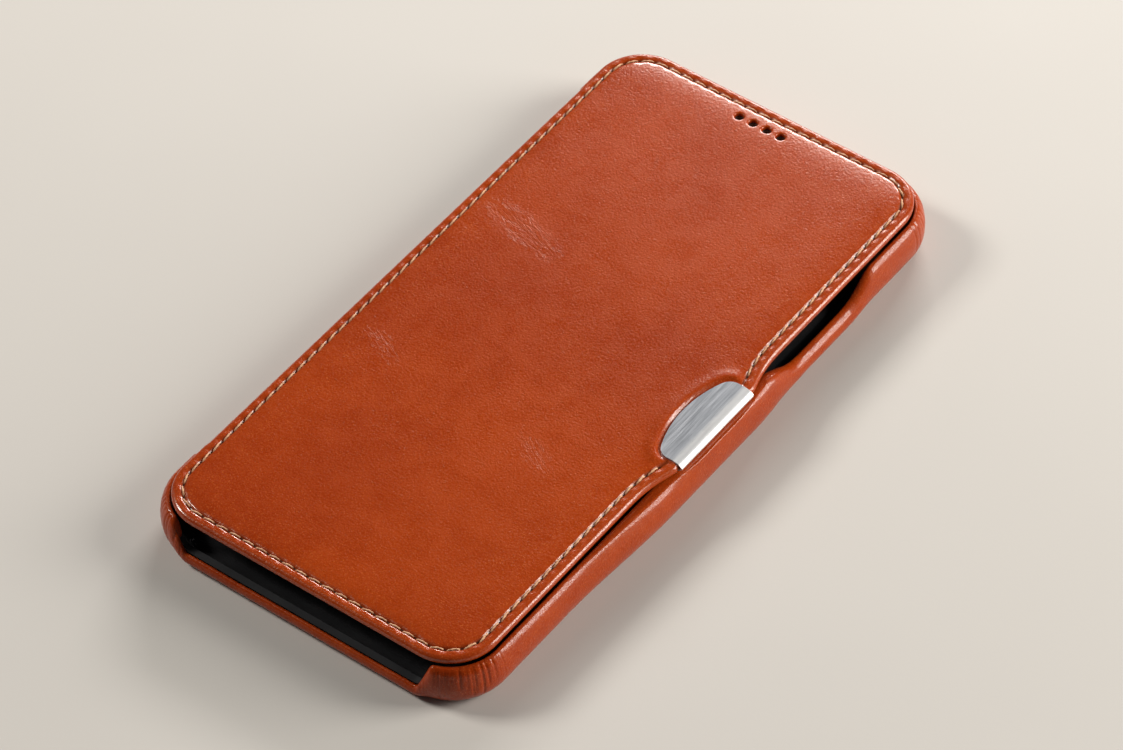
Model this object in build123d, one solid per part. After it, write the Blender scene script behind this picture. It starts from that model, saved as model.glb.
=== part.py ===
"""A leather folio case for a 6.5-inch phone: a hard tray wrapped in leather, a spine that folds
along two lines, and a stitched, padded front cover with a folded steel clasp.

Frame, in millimetres: the origin is on the underside, below the middle of the phone pocket.
+Y runs along the phone to its top end, +X to the clasp side, +Z up out of the pocket.
The case is modelled closed.
"""

import math
import os

from build123d import *

# The phone that the case is made for.
phone_half_x = 38.7
phone_half_y = 78.75
pocket_clearance = 0.2

# Layers of the tray, from the table up.
leather = 0.8
shell_floor = 1.0
back_lining_thickness = 0.3
rim_top = 9.6

# Plan of the tray.
wrap = 1.1  # leather and glue outside the shell's walls
tray_half_x = 41.3
tray_half_y = 81.2
tray_corner = 12.75
tray_base_radius = 3.8
rim_radius = 1.1
shell_rim_radius = 0.3
bulge_x = 42.8  # the wall swells here to hold the catch magnet
bulge_starts = (-48.0, 32.0)
bulge_flat = (-16.0, 12.0)

# Pocket.
pocket_half_x = phone_half_x + pocket_clearance
pocket_half_y = phone_half_y + pocket_clearance
pocket_corner = 10.4
pocket_floor = leather + shell_floor
pocket_base_radius = 3.2
lining_gap = 0.05

# Openings in the tray's walls.
reach = 5.0  # how far a cutting shape runs past what it cuts
notch_sill_radius = 3.0
notch_shoulder_radius = 1.5
power_cut = dict(low=(19.5, 27.5), high=(47.5, 54.0), sill=5.2)
port_cut = dict(low=(-31.9, -28.3), high=(28.4, 32.1), sill=4.2)
cut_top = 14.0
camera_centre = (25.7, 59.3)
camera_size = (15.0, 29.0)
window_step = 0.4  # leather and lining stop this far short of the shell's edge
side_keys_y = (18.0, 56.0)
side_keys_z = (3.6, 8.6)

# Catch magnet, in a pocket of the shell's wall behind the clasp.
clasp_y = -0.2
magnet_size = (2.0, 20.0, 4.6)
magnet_chamfer = 0.2
magnet_gap = 0.05
magnet_inner_x = 39.6
magnet_mid_z = 6.0

# The two folds. The spine swings about the lower one, the cover about the upper one.
lower_fold = (-40.6, 1.2)
upper_fold = (-38.05, 11.0)
upper_fold_opens = 78.0  # degrees; the lower fold opens 102, so the cover lies flat
fold_bead = 0.45
fold_clearance = 0.05
fold_margin = 3.0  # degrees to spare at the end of the upper fold's travel
cover_mitre = 55.0  # degrees that the cover's layers slope down from the upper fold
spine_half_y = 61.8
spine_end_gap = 0.2
spine_bulge = 0.6
spine_lining_thickness = 0.4
spine_lining_short = (0.6, 0.8)  # how far the lining stops short of the two folds
spine_gap = 0.12
spine_wall_top = 4.6
lip_top = 0.69  # the back leather under the lower fold
lip_x = -40.8
lip_radius = 0.5

# Cover: half sizes of its outline, layers and padding.
cover_left = -38.6
cover_right = 38.9
cover_half_y = 78.95
cover_corner = 10.6
tab_x = 41.2
tab_half_y = 12.3
tab_starts = 24.0
cover_bottom = 9.9
cover_lining_thickness = 0.4
seam_top = 12.0
panel_top = 12.35
edge_radius = 0.6
board_thickness = 0.8
board_inset = 3.3
foam_thickness = 0.4
foam_inset = 3.9
lining_inset = 0.5
panel_inset = 3.6
panel_edge_radius = 0.3

# Stitching, which runs round the cover and stops under the clasp.
seam_inset = 2.4
stitch_pitch = 3.29
stitch_length = 2.5
top_thread_radius = 0.25
under_thread_radius = 0.18
groove_width = 0.8
top_groove_depth = 0.35
under_groove_depth = 0.28
stitch_free_half_y = 12.9

# Ear-speaker holes through the cover.
ear_hole_radius = 1.0
ear_hole_pitch = 3.5
ear_hole_count = 4
ear_holes_mid = (-0.8, 73.0)

# Clasp: half-moon plate, folded round the tab's edge.
clasp_half_y = 12.0
clasp_apex_x = 33.1
clasp_arc_radius = 26.0
clasp_corner = 3.0
clasp_thickness = 0.4
clasp_leg_x = 36.6
clasp_leg_corner = 2.0
clasp_leg_gap = 0.15
clasp_recess = 0.5


# --- plan outlines -----------------------------------------------------------------------


def polar(point, distance, degrees):
    angle = math.radians(degrees)
    return (point[0] + distance * math.cos(angle), point[1] + distance * math.sin(angle))


def smooth_step(start, end):
    """Two equal arcs from start to end, both ends heading along +Y."""
    middle = ((start[0] + end[0]) / 2, (start[1] + end[1]) / 2)
    first = TangentArc(start, middle, tangent=(0, 1))
    second = TangentArc(middle, end, tangent=(0, -1), tangent_from_first=False)
    return [first, second]


def rounded_outline(left, right, half_y, corner, right_side):
    """A rounded rectangle whose right side is the given list of edges, from bottom to top."""
    low = half_y - corner
    return make_face(
        [
            Line((left + corner, -half_y), (right - corner, -half_y)),
            CenterArc((right - corner, -low), corner, -90, 90),
            *right_side,
            CenterArc((right - corner, low), corner, 0, 90),
            Line((right - corner, half_y), (left + corner, half_y)),
            CenterArc((left + corner, low), corner, 90, 90),
            Line((left, low), (left, -low)),
            CenterArc((left + corner, -low), corner, 180, 90),
        ]
    )


def tray_outline(inset):
    """The tray's plan, with the long swell of the magnet's wall on the clasp side."""
    right = tray_half_x - inset
    swell = bulge_x - inset
    half_y = tray_half_y - inset
    corner = tray_corner - inset
    low = half_y - corner
    side = [
        Line((right, -low), (right, bulge_starts[0])),
        *smooth_step((right, bulge_starts[0]), (swell, bulge_flat[0])),
        Line((swell, bulge_flat[0]), (swell, bulge_flat[1])),
        *smooth_step((swell, bulge_flat[1]), (right, bulge_starts[1])),
        Line((right, bulge_starts[1]), (right, low)),
    ]
    return rounded_outline(-right, right, half_y, corner, side)


def cover_outline():
    """The cover's plan: square with the phone, with a tab that carries the clasp."""
    low = cover_half_y - cover_corner
    tab_low = (tab_x, clasp_y - tab_half_y)
    tab_high = (tab_x, clasp_y + tab_half_y)
    side = [
        Line((cover_right, -low), (cover_right, -tab_starts)),
        TangentArc((cover_right, -tab_starts), tab_low, tangent=(0, 1)),
        Line(tab_low, tab_high),
        TangentArc(tab_high, (cover_right, tab_starts), tangent=(0, -1), tangent_from_first=False),
        Line((cover_right, tab_starts), (cover_right, low)),
    ]
    return rounded_outline(cover_left, cover_right, cover_half_y, cover_corner, side)


def inset_cover(amount):
    return offset(cover_outline(), amount=-amount, kind=Kind.INTERSECTION)


def slab(face, low, high):
    return extrude(Pos(0, 0, low) * face, amount=high - low, dir=(0, 0, 1))


def block(x, y, z):
    """A box from its (low, high) pairs."""
    size = (x[1] - x[0], y[1] - y[0], z[1] - z[0])
    middle = ((x[0] + x[1]) / 2, (y[0] + y[1]) / 2, (z[0] + z[1]) / 2)
    return Pos(*middle) * Box(*size)


def edges_at(shape, z):
    return shape.edges().filter_by_position(Axis.Z, z, z)


# --- sections across the spine, drawn as (x, z) -------------------------------------------


def along_y(face, half_y):
    """Stretches a section drawn as (x, z) along Y, from -half_y to +half_y."""
    return extrude(Plane.XZ * face, amount=half_y, both=True)


def rod(centre, radius, half_y):
    return along_y(Pos(*centre) * Circle(radius), half_y)


def fold_line():
    """Length and direction, in degrees, of the line from the lower fold to the upper one."""
    run = upper_fold[0] - lower_fold[0]
    rise = upper_fold[1] - lower_fold[1]
    return math.hypot(run, rise), math.degrees(math.atan2(rise, run))


def spine_arc():
    """Centre and radius of the arc that bulges outwards through both folds, and its half angle."""
    length, heading = fold_line()
    radius = (length**2 / 4 + spine_bulge**2) / (2 * spine_bulge)
    middle = polar(lower_fold, length / 2, heading)
    centre = polar(middle, radius - spine_bulge, heading - 90)
    return centre, radius, math.degrees(math.asin(length / 2 / radius))


def spine_curve(distance, start=0.0, end=0.0):
    """The spine's arc from the lower fold up, moved outwards by distance, less start and end."""
    centre, radius, half_angle = spine_arc()
    outward = fold_line()[1] + 90
    first = outward + half_angle - math.degrees(start / radius)
    last = outward - half_angle + math.degrees(end / radius)
    return CenterArc(centre, radius + distance, first, last - first)


def spine_layer(outer, inner, start, end):
    """A layer of the spine between two distances from the arc through the folds."""
    out_edge = spine_curve(outer, start, end)
    in_edge = spine_curve(inner, start, end)
    section = make_face(
        [out_edge, in_edge, Line(out_edge @ 0, in_edge @ 0), Line(out_edge @ 1, in_edge @ 1)]
    )
    return along_y(section, spine_half_y)


def spine_space():
    """Everything outside the spine's inner face, taken out of the tray between its corners."""
    inner = spine_curve(fold_bead - leather - spine_lining_thickness - spine_gap)
    far_x = -tray_half_x - reach
    low, high = inner @ 0, inner @ 1
    section = make_face(
        [
            inner,
            Line((high.X, high.Y), (high.X, cut_top)),
            Line((high.X, cut_top), (far_x, cut_top)),
            Line((far_x, cut_top), (far_x, leather)),
            Line((far_x, leather), (low.X, leather)),
            Line((low.X, leather), (low.X, low.Y)),
        ]
    )
    return along_y(section, spine_half_y + spine_end_gap)


def cover_fold_space():
    """Room at the cover's left end for the spine's bead, and for the spine once it lies flat."""
    spine_heading = fold_line()[1] + 180 - spine_arc()[2] - upper_fold_opens - fold_margin
    cove = fold_bead + fold_clearance
    touch = polar(upper_fold, cove, spine_heading - 90)
    section = [
        upper_fold,
        touch,
        polar(touch, reach, spine_heading),
        (-tray_half_x - reach, cover_bottom - 1),
        polar(upper_fold, 3.0, -cover_mitre),
    ]
    half_y = spine_half_y + spine_end_gap
    wedge = along_y(make_face(Polyline(section, close=True)), half_y)
    return wedge + rod(upper_fold, cove, half_y)


# --- the tray -----------------------------------------------------------------------------


def tray_blank(inset, low, high, base_radius, top_radius):
    blank = slab(tray_outline(inset), low, high)
    blank = fillet(edges_at(blank, low), base_radius)
    return fillet(edges_at(blank, high), top_radius)


def pocket():
    size = RectangleRounded(2 * pocket_half_x, 2 * pocket_half_y, pocket_corner)
    room = slab(size, pocket_floor, cut_top)
    return fillet(edges_at(room, pocket_floor), pocket_base_radius)


def notch(cut, depth):
    """The (across, z) section of a wall opening with sloping ends, widened by depth."""
    low_rim, low_sill = cut["low"]
    high_sill, high_rim = cut["high"]
    sill = cut["sill"] - depth
    section = make_face(
        Polyline(
            [
                (low_rim - depth, cut_top),
                (low_rim - depth, rim_top),
                (low_sill - depth / 2, sill),
                (high_sill + depth / 2, sill),
                (high_rim + depth, rim_top),
                (high_rim + depth, cut_top),
            ],
            close=True,
        )
    )
    corners = section.vertices().filter_by(lambda v: abs(v.Y - sill) < 0.01)
    section = fillet(corners, notch_sill_radius)
    shoulders = section.vertices().filter_by(lambda v: abs(v.Y - rim_top) < 0.01)
    return fillet(shoulders, notch_shoulder_radius)


def wall_openings(depth):
    """The power-key notch in the right wall and the port notch in the bottom wall."""
    power = extrude(Plane.YZ * notch(power_cut, depth), amount=2 * reach, dir=(1, 0, 0))
    port = extrude(Plane.XZ * notch(port_cut, depth), amount=2 * reach, dir=(0, -1, 0))
    return Pos(pocket_half_x - reach, 0, 0) * power + Pos(0, -pocket_half_y + reach, 0) * port


def camera_window(grow):
    width = camera_size[0] + 2 * grow
    height = camera_size[1] + 2 * grow
    pill = Pos(*camera_centre) * SlotOverall(height, width, rotation=90)
    return slab(pill, -reach, cut_top)


def side_key_slot():
    """The long opening for the volume keys and the mute switch, through spine and wall."""
    length = side_keys_y[1] - side_keys_y[0]
    height = side_keys_z[1] - side_keys_z[0]
    middle = (sum(side_keys_y) / 2, sum(side_keys_z) / 2)
    section = Pos(*middle) * SlotOverall(length, height)
    slot = extrude(Plane.YZ * section, amount=2 * reach, dir=(-1, 0, 0))
    return Pos(-pocket_half_x + reach, 0, 0) * slot


def magnet_space():
    x_low = magnet_inner_x - magnet_gap
    half_y = magnet_size[1] / 2 + magnet_gap
    half_z = magnet_size[2] / 2 + magnet_gap
    return block(
        (x_low, bulge_x),
        (clasp_y - half_y, clasp_y + half_y),
        (magnet_mid_z - half_z, magnet_mid_z + half_z),
    )


def shell_blank():
    base_radius = tray_base_radius - leather
    return tray_blank(wrap, leather, rim_top - leather, base_radius, shell_rim_radius)


def spine_side(right, low, high):
    """A block over the spine's stretch of the left wall, from right outwards."""
    half_y = spine_half_y + spine_end_gap
    return block((-tray_half_x - reach, right), (-half_y, half_y), (low, high))


def hard_shell():
    shell = shell_blank()
    shell -= pocket()
    shell -= wall_openings(leather)
    shell -= camera_window(0)
    shell -= spine_space()
    shell -= spine_side(-pocket_half_x + reach, spine_wall_top, cut_top)
    shell -= side_key_slot()
    return shell - magnet_space()


def back_leather():
    skin = tray_blank(0, 0, rim_top, tray_base_radius, rim_radius)
    skin -= spine_side(-pocket_half_x + reach, -reach, cut_top)
    half_y = spine_half_y + spine_end_gap
    lip = block((lip_x, -pocket_half_x + reach), (-half_y, half_y), (0, lip_top))
    lip_edge = lip.edges().filter_by(Axis.Y).group_by(Axis.X)[0].sort_by(Axis.Z)[0]
    skin += fillet(lip_edge, lip_radius)
    skin -= shell_blank()
    skin -= pocket()
    skin -= wall_openings(0)
    return skin - camera_window(window_step)


def back_lining():
    margin = pocket_base_radius + lining_gap
    sheet = RectangleRounded(
        2 * (pocket_half_x - margin), 2 * (pocket_half_y - margin), pocket_corner - margin
    )
    sheet = slab(sheet, pocket_floor, pocket_floor + back_lining_thickness)
    return sheet - camera_window(window_step)


def catch_magnet():
    thickness, width, height = magnet_size
    bar = Box(thickness, width, height)
    bar = Pos(magnet_inner_x + thickness / 2, clasp_y, magnet_mid_z) * bar
    return chamfer(bar.edges(), magnet_chamfer)


# --- the spine ----------------------------------------------------------------------------


def spine_leather():
    skin = spine_layer(fold_bead, fold_bead - leather, 0, 0)
    skin += rod(lower_fold, fold_bead, spine_half_y)
    skin += rod(upper_fold, fold_bead, spine_half_y)
    return skin - side_key_slot()


def spine_lining():
    outer = fold_bead - leather
    inner = outer - spine_lining_thickness
    return spine_layer(outer, inner, *spine_lining_short) - side_key_slot()


# --- the clasp ----------------------------------------------------------------------------


def clasp_plan(grow):
    """The half-moon plate seen from above."""
    half_y = clasp_half_y + grow
    radius = clasp_arc_radius + grow
    apex_x = clasp_apex_x - grow
    end_x = apex_x + radius - math.sqrt(radius**2 - half_y**2)
    edge_x = tab_x + reach
    face = make_face(
        [
            ThreePointArc((end_x, half_y), (apex_x, 0), (end_x, -half_y)),
            Line((end_x, -half_y), (edge_x, -half_y)),
            Line((edge_x, -half_y), (edge_x, half_y)),
            Line((edge_x, half_y), (end_x, half_y)),
        ]
    )
    horns = face.vertices().filter_by(lambda v: v.X < end_x + 0.01)
    return Pos(0, clasp_y) * fillet(horns, clasp_corner)


def clasp_fold(grow):
    """The half-round nose over the tab's edge, as a solid bar."""
    inner_radius = (seam_top - cover_bottom - clasp_thickness) / 2
    outer_radius = inner_radius + grow
    centre = (tab_x - inner_radius, cover_bottom + clasp_thickness + inner_radius)
    face = Pos(*centre) * Circle(outer_radius)
    nose = extrude(Plane.XZ * face, amount=clasp_half_y, both=True)
    return Pos(0, clasp_y, 0) * nose, centre[0], outer_radius


def clasp_plate():
    nose, fold_x, outer_radius = clasp_fold(clasp_thickness)
    core, _, _ = clasp_fold(0)
    before_fold = block((0, fold_x), (-cover_half_y, cover_half_y), (0, cut_top))
    top = slab(clasp_plan(0), seam_top, seam_top + clasp_thickness) & before_fold
    leg = block(
        (clasp_leg_x, fold_x),
        (clasp_y - clasp_half_y, clasp_y + clasp_half_y),
        (cover_bottom, cover_bottom + clasp_thickness),
    )
    toes = leg.edges().filter_by(Axis.Z).group_by(Axis.X)[0]
    leg = fillet(toes, clasp_leg_corner)
    return top + leg + (nose - core - before_fold)


def clasp_grip():
    """What the clasp's nose takes off the tab's edge."""
    core, fold_x, _ = clasp_fold(0)
    y_range = (clasp_y - tab_half_y - clasp_recess, clasp_y + tab_half_y + clasp_recess)
    return block((fold_x, fold_x + reach), y_range, (0, cut_top)) - core


# --- the cover ----------------------------------------------------------------------------


def ear_holes():
    first_x = ear_holes_mid[0] - ear_hole_pitch * (ear_hole_count - 1) / 2
    holes = [
        Pos(first_x + ear_hole_pitch * i, ear_holes_mid[1], cover_bottom)
        * Cylinder(ear_hole_radius, 2 * reach)
        for i in range(ear_hole_count)
    ]
    return Compound(children=holes)


def seam_groove(low, high):
    half = groove_width / 2
    ring = slab(inset_cover(seam_inset - half), low, high)
    return ring - slab(inset_cover(seam_inset + half), low, high)


def cover_board():
    board = slab(
        inset_cover(board_inset),
        cover_bottom + cover_lining_thickness,
        cover_bottom + cover_lining_thickness + board_thickness,
    )
    return board - ear_holes()


def cover_foam():
    low = cover_bottom + cover_lining_thickness + board_thickness
    return slab(inset_cover(foam_inset), low, low + foam_thickness) - ear_holes()


def cover_leather():
    low = cover_bottom + cover_lining_thickness
    skin = slab(cover_outline(), low, seam_top)
    skin = fillet(edges_at(skin, seam_top), edge_radius)
    panel_plan = inset_cover(panel_inset) - clasp_plan(clasp_recess)
    panel = slab(panel_plan, seam_top, panel_top)
    skin += fillet(edges_at(panel, panel_top), panel_edge_radius)
    skin -= slab(inset_cover(board_inset), low, low + board_thickness)
    foam_low = low + board_thickness
    skin -= slab(inset_cover(foam_inset), foam_low, foam_low + foam_thickness)
    skin -= seam_groove(seam_top - top_groove_depth, cut_top)
    skin -= clasp_grip()
    skin -= cover_fold_space()
    return skin - ear_holes()


def cover_lining():
    sheet = slab(inset_cover(lining_inset), cover_bottom, cover_bottom + cover_lining_thickness)
    sheet -= seam_groove(0, cover_bottom + under_groove_depth)
    half_y = clasp_half_y + clasp_leg_gap
    sheet -= block(
        (clasp_leg_x - clasp_leg_gap, tab_x + reach),
        (clasp_y - half_y, clasp_y + half_y),
        (0, cut_top),
    )
    sheet -= cover_fold_space()
    return sheet - ear_holes()


def stitch(radius):
    """One stitch, a round-ended thread lying along X."""
    straight = stitch_length / 2 - radius
    profile = make_face(
        [
            Line((-stitch_length / 2, 0), (stitch_length / 2, 0)),
            CenterArc((straight, 0), radius, 0, 90),
            Line((straight, radius), (-straight, radius)),
            CenterArc((-straight, 0), radius, 90, 90),
        ]
    )
    return revolve(profile, Axis.X)


def stitch_row(radius, z):
    """Stitches at even steps along the seam, apart from those that the clasp covers."""
    seam = inset_cover(seam_inset).face().outer_wire()
    count = round(seam.length / stitch_pitch)
    single = stitch(radius)
    row = []
    for i in range(count):
        share = (i + 0.5) / count
        point = seam @ share
        if point.X > 0 and abs(point.Y - clasp_y) < stitch_free_half_y + stitch_length / 2:
            continue
        heading = seam % share
        turn = math.degrees(math.atan2(heading.Y, heading.X))
        row.append(Pos(point.X, point.Y, z) * Rot(0, 0, turn) * single)
    return Compound(children=row)


def top_stitches():
    return stitch_row(top_thread_radius, seam_top - top_groove_depth + top_thread_radius)


def under_stitches():
    level = cover_bottom + under_groove_depth - under_thread_radius
    return stitch_row(under_thread_radius, level)


pieces = {
    "hard_shell": hard_shell,
    "back_leather": back_leather,
    "back_lining": back_lining,
    "catch_magnet": catch_magnet,
    "spine_leather": spine_leather,
    "spine_lining": spine_lining,
    "cover_leather": cover_leather,
    "cover_foam": cover_foam,
    "cover_board": cover_board,
    "cover_lining": cover_lining,
    "clasp_plate": clasp_plate,
    "top_stitches": top_stitches,
    "under_stitches": under_stitches,
}

os.makedirs("parts", exist_ok=True)
for name, make in pieces.items():
    export_step(make(), f"parts/{name}.step")
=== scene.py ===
import math

import bmesh
import bpy
import numpy as np
from mathutils import Matrix, Vector
from mathutils.geometry import delaunay_2d_cdt


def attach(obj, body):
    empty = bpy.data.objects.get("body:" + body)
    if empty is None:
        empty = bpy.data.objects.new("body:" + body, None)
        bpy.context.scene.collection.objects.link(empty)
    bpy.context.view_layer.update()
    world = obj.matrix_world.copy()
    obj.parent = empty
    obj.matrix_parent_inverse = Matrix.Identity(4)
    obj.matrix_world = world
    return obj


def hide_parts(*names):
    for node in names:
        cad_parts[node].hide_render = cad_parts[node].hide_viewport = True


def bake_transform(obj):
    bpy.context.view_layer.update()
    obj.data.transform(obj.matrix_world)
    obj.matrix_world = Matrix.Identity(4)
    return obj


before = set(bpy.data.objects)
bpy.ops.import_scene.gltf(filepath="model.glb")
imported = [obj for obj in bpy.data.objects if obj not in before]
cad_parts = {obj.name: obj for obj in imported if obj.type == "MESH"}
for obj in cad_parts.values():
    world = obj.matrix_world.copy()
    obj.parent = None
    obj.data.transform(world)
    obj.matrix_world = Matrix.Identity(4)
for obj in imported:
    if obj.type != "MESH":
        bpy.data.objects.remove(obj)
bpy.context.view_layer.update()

mm = 0.001  # shapes are drawn in millimetres and made in metres


# drawing with numbers

def ease(low, high, value):
    # 0 below low, 1 above high, smooth between
    t = np.clip((np.asarray(value, float) - low) / (high - low), 0, 1)
    return t * t * (3 - 2 * t)


def mix(a, b, share):
    return a + (b - a) * share


def grid(xSteps, ySteps):
    # every crossing of two rows of steps
    return np.stack(np.meshgrid(np.arange(*xSteps), np.arange(*ySteps)), -1).reshape(-1, 2)


def atLevel(loop, y):
    # a loop drawn in x and z, stood up at one y
    return np.column_stack([loop[:, 0], np.full(len(loop), y), loop[:, 1]])


def waves(x, y, seed, longest, count=7):
    # gentle unevenness between -1 and 1, the same every run
    rng = np.random.default_rng(seed)
    total = np.zeros(np.shape(x))
    for i in range(count):
        turn, phase = rng.uniform(0, math.tau, 2)
        length = longest * rng.uniform(0.45, 1.0)
        total = total + np.sin((x * math.cos(turn) + y * math.sin(turn)) * math.tau / length + phase)
    return total / math.sqrt(count) / 1.6


def line(a, b, steps=60):
    t = np.linspace(0, 1, steps, endpoint=False)[:, None]
    return np.array(a) + (np.array(b) - np.array(a)) * t


def arc(centre, radius, first, last, steps=90):
    t = np.radians(np.linspace(first, last, steps, endpoint=False))
    return np.stack([centre[0] + radius * np.cos(t), centre[1] + radius * np.sin(t)], 1)


def sideCurve(function, low, high, steps=400):
    # a side of the outline whose x is a function of y
    y = np.linspace(low, high, steps, endpoint=False)
    return np.stack([function(y), y], 1)


def roundPlan(left, rightSide, right, halfY, corner):
    # a rounded rectangle, counter-clockwise from the middle of its left side
    low = halfY - corner
    return np.concatenate([
        line((left, 0), (left, -low), 300),
        arc((left + corner, -low), corner, 180, 270),
        line((left + corner, -halfY), (right - corner, -halfY), 300),
        arc((right - corner, -low), corner, 270, 360),
        sideCurve(rightSide, -low, low),
        arc((right - corner, low), corner, 0, 90),
        line((right - corner, halfY), (left + corner, halfY), 300),
        arc((left + corner, low), corner, 90, 180),
        line((left, low), (left, 0), 300),
    ])


class Track:
    # a closed plan curve that can be asked for points and outward directions by length
    def __init__(self, plan):
        step = np.linalg.norm(np.roll(plan, -1, 0) - plan, axis=1)
        self.plan = plan
        self.sums = np.concatenate([[0], np.cumsum(step)])
        self.length = self.sums[-1]

    def at(self, s):
        ring = np.concatenate([self.plan, self.plan[:1]])
        s = np.mod(s, self.length)
        return np.stack([np.interp(s, self.sums, ring[:, i]) for i in (0, 1)], -1)

    def outward(self, s, reach=0.6):
        way = self.at(s + reach) - self.at(s - reach)
        way /= np.linalg.norm(way, axis=-1, keepdims=True)
        return np.stack([way[..., 1], -way[..., 0]], -1)

    def distance(self, points):
        # how far inside the curve each point lies
        sample = self.at(np.arange(0, self.length, self.length / 1600))
        nearest = np.full(len(points), 1e9)
        for start in range(0, len(points), 2000):
            part = points[start:start + 2000]
            gap = np.linalg.norm(part[:, None] - sample[None], axis=2)
            nearest[start:start + 2000] = gap.min(1)
        return nearest


def within(points, ring):
    # which points lie inside a closed ring
    x, y = points[:, 0][:, None], points[:, 1][:, None]
    a, b = ring, np.roll(ring, -1, 0)
    spans = (a[:, 1] > y) != (b[:, 1] > y)
    rise = np.where(b[:, 1] == a[:, 1], 1e-9, b[:, 1] - a[:, 1])
    cross = (b[:, 0] - a[:, 0]) * (y - a[:, 1]) / rise + a[:, 0]
    return (spans & (x < cross)).sum(1) % 2 == 1


class Pattern:
    # collects the points and faces of one piece
    def __init__(self):
        self.points, self.faces, self.marks = [], [], []

    def add(self, points, marks=None):
        start = len(self.points)
        self.points += [tuple(p) for p in points]
        self.marks += [(0.0, 9.0)] * len(points) if marks is None else [tuple(m) for m in marks]
        return list(range(start, start + len(points)))

    def strip(self, a, b, closed=True):
        count = len(a)
        for i in range(count if closed else count - 1):
            j = (i + 1) % count
            self.faces.append((a[i], a[j], b[j], b[i]))

    def rows(self, sections, closed=True, marks=None):
        # sections[i][k] is point k of the section at station i; gives the rows of indices
        found = []
        for k in range(sections.shape[1]):
            found.append(self.add(sections[:, k], None if marks is None else marks[:, k]))
            if k:
                self.strip(found[-2], found[-1], closed)
        return found

    def fill(self, rim, holes, inner, height):
        # closes the ring of indices rim, around the holes, with a net of triangles
        rings = [rim, *holes]
        flat = [self.points[i][:2] for ring in rings for i in ring]
        edges, start = [], 0
        for ring in rings:
            edges += [(start + i, start + (i + 1) % len(ring)) for i in range(len(ring))]
            start += len(ring)
        outer = np.array([self.points[i][:2] for i in rim])
        keep = within(inner, outer) if len(inner) else []
        for ring in holes:
            keep &= ~within(inner, np.array([self.points[i][:2] for i in ring]))
        inner = inner[keep] if len(inner) else inner
        known = [i for ring in rings for i in ring]
        if len(inner):
            known += self.add(np.column_stack([inner, height(inner)]))
        coords = [Vector(p) for p in flat] + [Vector(p) for p in inner]
        points, _, faces, origin, _, _ = delaunay_2d_cdt(coords, edges, [], 0, 1e-6)
        middles = np.array([np.mean([points[i] for i in f], 0) for f in faces])
        keep = within(middles, outer)
        for ring in holes:
            keep &= ~within(middles, np.array([self.points[i][:2] for i in ring]))
        for face, good in zip(faces, keep):
            if good:
                self.faces.append(tuple(known[origin[i][0]] for i in face))

    def make(self, name, finish, sharp=None, period=0):
        mesh = bpy.data.meshes.new(name)
        mesh.from_pydata([tuple(c * mm for c in p) for p in self.points], [], self.faces)
        piece = bpy.data.objects.new(name, mesh)
        bpy.context.scene.collection.objects.link(piece)
        if period:
            layer = mesh.uv_layers.new(name="seam")
            for face in mesh.polygons:
                values = [self.marks[mesh.loops[i].vertex_index] for i in face.loop_indices]
                high = max(v[0] for v in values)
                for i, v in zip(face.loop_indices, values):
                    u = v[0] + period if high - v[0] > period / 2 else v[0]
                    layer.data[i].uv = (u, v[1])
        work = bmesh.new()
        work.from_mesh(mesh)
        bmesh.ops.recalc_face_normals(work, faces=work.faces)
        work.to_mesh(mesh)
        work.free()
        mesh.shade_smooth()
        if sharp:
            mesh.set_sharp_from_angle(angle=math.radians(sharp))
        mesh.materials.append(finish)
        return piece


def madeAlongY(rows, name, finish):
    # a closed bar from one loop at each y
    pattern = Pattern()
    found = pattern.rows(np.array(rows), False)
    pattern.strip(found[-1], found[0], False)
    pattern.faces += [tuple(row[0] for row in found), tuple(row[-1] for row in found)]
    return pattern.make(name, finish, 60)


def ringed(edge, out, section):
    # one section stood at every station of a plan curve, measured inwards
    return np.array([np.column_stack([edge[i] - out[i] * section[:, :1], section[:, 1]]) for i in range(len(edge))])


# shader maths

class Signal:
    # a socket that takes part in Python sums
    def __init__(self, paint, socket):
        self.paint, self.socket = paint, socket

    def sum(self, operation, a, b):
        return self.paint.node("ShaderNodeMath", {"operation": operation}, {0: a, 1: b})

    def __add__(self, other): return self.sum("ADD", self, other)
    def __radd__(self, other): return self.sum("ADD", other, self)
    def __sub__(self, other): return self.sum("SUBTRACT", self, other)
    def __rsub__(self, other): return self.sum("SUBTRACT", other, self)
    def __mul__(self, other): return self.sum("MULTIPLY", self, other)
    def __rmul__(self, other): return self.sum("MULTIPLY", other, self)


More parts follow.
